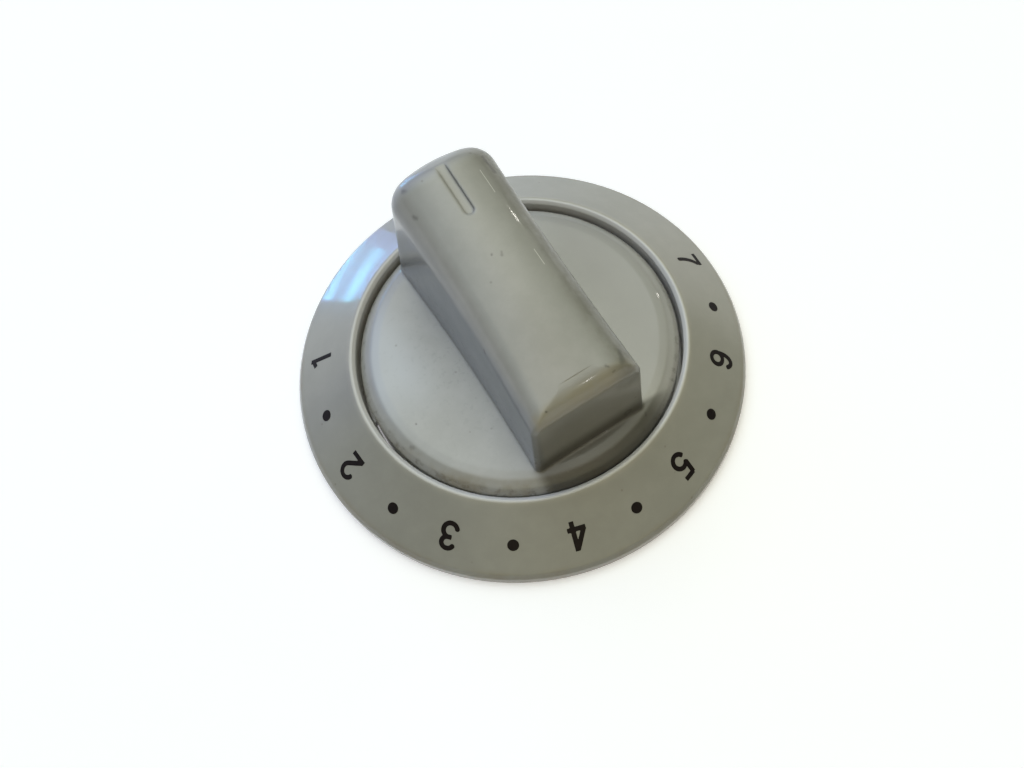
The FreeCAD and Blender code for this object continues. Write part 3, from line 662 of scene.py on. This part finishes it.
# Half-step dots, one pattern of short ink discs set square to the ring's face
def dots_tree():
    tree = bpy.data.node_groups.new("half_step_dots", "GeometryNodeTree")
    face = tree.interface
    face.new_socket("Geometry", in_out="OUTPUT", socket_type="NodeSocketGeometry")
    for name, kind in (
        ("dot count", "NodeSocketInt"),
        ("dot radius", "NodeSocketFloat"),
        ("ink thickness", "NodeSocketFloat"),
        ("ring radius", "NodeSocketFloat"),
        ("face height", "NodeSocketFloat"),
        ("face slope", "NodeSocketFloat"),
        ("first angle", "NodeSocketFloat"),
        ("step angle", "NodeSocketFloat"),
        ("ink", "NodeSocketMaterial"),
    ):
        face.new_socket(name, in_out="INPUT", socket_type=kind)
    nodes = tree.nodes
    links = tree.links
    sizes = nodes.new("NodeGroupInput").outputs

    def maths(operation, first, second=None):
        made = nodes.new("ShaderNodeMath")
        made.operation = operation
        links.new(first, made.inputs[0])
        if second is not None:
            links.new(second, made.inputs[1])
        return made.outputs[0]

    number = nodes.new("GeometryNodeInputIndex").outputs["Index"]
    angle = maths("ADD", maths("MULTIPLY", number, sizes["step angle"]), sizes["first angle"])
    along = nodes.new("ShaderNodeCombineXYZ")
    links.new(maths("MULTIPLY", maths("COSINE", angle), sizes["ring radius"]), along.inputs["X"])
    links.new(maths("MULTIPLY", maths("SINE", angle), sizes["ring radius"]), along.inputs["Y"])
    links.new(sizes["face height"], along.inputs["Z"])
    points = nodes.new("GeometryNodePoints")
    links.new(sizes["dot count"], points.inputs["Count"])
    links.new(along.outputs["Vector"], points.inputs["Position"])
    lean = nodes.new("FunctionNodeEulerToRotation")
    euler = nodes.new("ShaderNodeCombineXYZ")
    links.new(sizes["face slope"], euler.inputs["Y"])
    links.new(angle, euler.inputs["Z"])
    links.new(euler.outputs["Vector"], lean.inputs["Euler"])
    disc = nodes.new("GeometryNodeMeshCylinder")
    disc.inputs["Vertices"].default_value = DOT_CORNERS
    links.new(sizes["dot radius"], disc.inputs["Radius"])
    links.new(sizes["ink thickness"], disc.inputs["Depth"])
    copies = nodes.new("GeometryNodeInstanceOnPoints")
    links.new(points.outputs[0], copies.inputs["Points"])
    links.new(disc.outputs["Mesh"], copies.inputs["Instance"])
    links.new(lean.outputs["Rotation"], copies.inputs["Rotation"])
    solid = nodes.new("GeometryNodeRealizeInstances")
    links.new(copies.outputs["Instances"], solid.inputs["Geometry"])
    inked = nodes.new("GeometryNodeSetMaterial")
    links.new(solid.outputs["Geometry"], inked.inputs["Geometry"])
    links.new(sizes["ink"], inked.inputs["Material"])
    links.new(inked.outputs["Geometry"], nodes.new("NodeGroupOutput").inputs[0])
    return tree


def grown(name, tree, values):
    # Runs a tree with its named inputs set, and keeps the result as a plain mesh
    carrier = bpy.data.objects.new(name, bpy.data.meshes.new(name))
    scene.collection.objects.link(carrier)
    modifier = carrier.modifiers.new(name, "NODES")
    modifier.node_group = tree
    for item in tree.interface.items_tree:
        if item.in_out == "INPUT" and item.name in values:
            modifier[item.identifier] = values[item.name]
    carrier.update_tag()
    bpy.context.view_layer.update()
    evaluated = carrier.evaluated_get(bpy.context.evaluated_depsgraph_get())
    shape = bpy.data.meshes.new_from_object(evaluated)
    carrier.modifiers.clear()
    carrier.data = shape
    shape.name = name
    return carrier


def print_dots():
    place, normal = land_on_ring(MARK_RADIUS, 0)
    sunk = normal * (INK_LIFT - INK_DEPTH / 2)
    dots = grown("half_step_dots", dots_tree(), {
        "dot count": len(DIGITS) - 1,
        "dot radius": DOT_RADIUS,
        "ink thickness": INK_DEPTH,
        "ring radius": place.x + sunk.x,
        "face height": place.z + sunk.z,
        "face slope": math.atan2(normal.x, normal.z),
        "first angle": FIRST_MARK + MARK_STEP,
        "step angle": MARK_STEP * 2,
        "ink": INK,
    })
    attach(dots, "root")


print_dots()


# Table top and lights
TABLE_WIDTH = 3.0

# Lamps, in degrees, metres and watts: name, azimuth, elevation, distance, width, height, roll, power, tint
LAMPS = (
    ("window", 98.8, 6.0, 0.45, 0.167, 0.055, -23, 0.15, (0.18, 0.34, 1.0)),
    ("window_bar_high", 100.6, 6.4, 0.45, 0.134, 0.002, -23, 0.035, (0.18, 0.75, 1.0)),
    ("window_bar_low", 101.2, 4.6, 0.45, 0.134, 0.002, -23, 0.035, (0.18, 0.75, 1.0)),
    ("bulb", 15, 30, 0.6, 0.012, 0.012, 0, 0.04, (1.0, 0.96, 0.88)),
    ("far_bulb", -75, 37, 0.6, 0.004, 0.004, 0, 0.02, (1.0, 0.98, 0.94)),
)

# Soft glows of the room: azimuth, elevation, cosine where the glow fades in, and its colour at the middle
ROOM_LIGHT = (
    (0, 90, 0.7, (1.0, 0.965, 0.86)),
    (14, 60, 0.75, (0.18, 0.22, 0.04)),
    (74, 60, 0.75, (1.35, 1.42, 1.38)),
    (134, 60, 0.75, (0.35, 0.54, 0.69)),
    (254, 60, 0.75, (0.27, 0.18, 0.08)),
    (112, 25, 0.75, (0.0, 0.04, 0.5)),
    (248, 25, 0.75, (0.26, 0.27, 0.17)),
)
# Height, as a direction's Z, where the white backdrop begins to fade in reflections, and where it has gone
BACKDROP_TOP = 0.1
BACKDROP_GONE = 0.22


def make_table():
    shape = bpy.data.meshes.new("table_top")
    half = TABLE_WIDTH / 2
    corners = [(-half, -half, 0), (half, -half, 0), (half, half, 0), (-half, half, 0)]
    shape.from_pydata(corners, [], [(0, 1, 2, 3)])
    table = bpy.data.objects.new("table_top", shape)
    shape.materials.append(table_top())
    scene.collection.objects.link(table)


def direction(azimuth, elevation):
    # Unit vector from the knob towards a place in the room
    level = math.radians(elevation)
    around = math.radians(azimuth)
    flat = math.cos(level)
    return Vector((math.cos(around) * flat, math.sin(around) * flat, math.sin(level)))


def make_lamp(name, azimuth, elevation, distance, width, height, roll, power, tint):
    # A flat lamp that faces the knob, placed by its direction from the knob's middle
    lamp = bpy.data.lights.new(name, "AREA")
    lamp.shape = "RECTANGLE"
    lamp.size = width
    lamp.size_y = height
    lamp.energy = power
    lamp.color = tint
    item = bpy.data.objects.new(name, lamp)
    away = direction(azimuth, elevation)
    item.location = away * distance
    turn = away.to_track_quat("Z", "Y") @ Quaternion((0, 0, 1), math.radians(roll))
    item.rotation_euler = turn.to_euler()
    scene.collection.objects.link(item)


def make_world():
    world = bpy.data.worlds.new("soft_room")
    world.use_nodes = True
    tree = world.node_tree
    sky = tree.nodes["Background"]
    way = tree.nodes.new("ShaderNodeTexCoord").outputs["Generated"]

    def node(kind, *sources, **settings):
        made = tree.nodes.new(kind)
        for name, value in settings.items():
            setattr(made, name, value)
        for index, source in enumerate(sources):
            if isinstance(source, bpy.types.NodeSocket):
                tree.links.new(source, made.inputs[index])
            elif source is not None:
                made.inputs[index].default_value = source
        return made

    def maths(operation, first, second):
        return node("ShaderNodeMath", first, second, operation=operation).outputs[0]

    def fade(value, low, high, start, end):
        made = node("ShaderNodeMapRange", value, low, high, start, end, interpolation_type="SMOOTHSTEP")
        return made.outputs["Result"]

    total = None
    for azimuth, elevation, start, tint in ROOM_LIGHT:
        middle = direction(azimuth, elevation)
        facing = node("ShaderNodeVectorMath", way, middle, operation="DOT_PRODUCT").outputs["Value"]
        share = fade(facing, start, 1.0, 0.0, 1.0)
        # input 3 of the vector node is its scale
        glow = node("ShaderNodeVectorMath", tint, None, None, share, operation="SCALE").outputs["Vector"]
        if total is None:
            total = glow
        else:
            total = node("ShaderNodeVectorMath", total, glow, operation="ADD").outputs["Vector"]
    # the backdrop is white where it is seen, directly or low in a reflection, and lights nothing
    rays = node("ShaderNodeLightPath").outputs
    height = node("ShaderNodeSeparateXYZ", way).outputs["Z"]
    low = fade(height, BACKDROP_TOP, BACKDROP_GONE, 1.0, 0.0)
    mirrored = maths("MAXIMUM", rays["Is Glossy Ray"], rays["Is Transmission Ray"])
    mirrored = maths("MULTIPLY", mirrored, low)
    seen = maths("MAXIMUM", rays["Is Camera Ray"], mirrored)
    shown = node("ShaderNodeMix", data_type="RGBA")
    tree.links.new(seen, shown.inputs["Factor"])
    tree.links.new(total, shown.inputs["A"])
    shown.inputs["B"].default_value = (1, 1, 1, 1)
    tree.links.new(shown.outputs["Result"], sky.inputs["Color"])
    scene.world = world


make_table()
for lamp_values in LAMPS:
    make_lamp(*lamp_values)
make_world()

scene.view_settings.view_transform = "Standard"
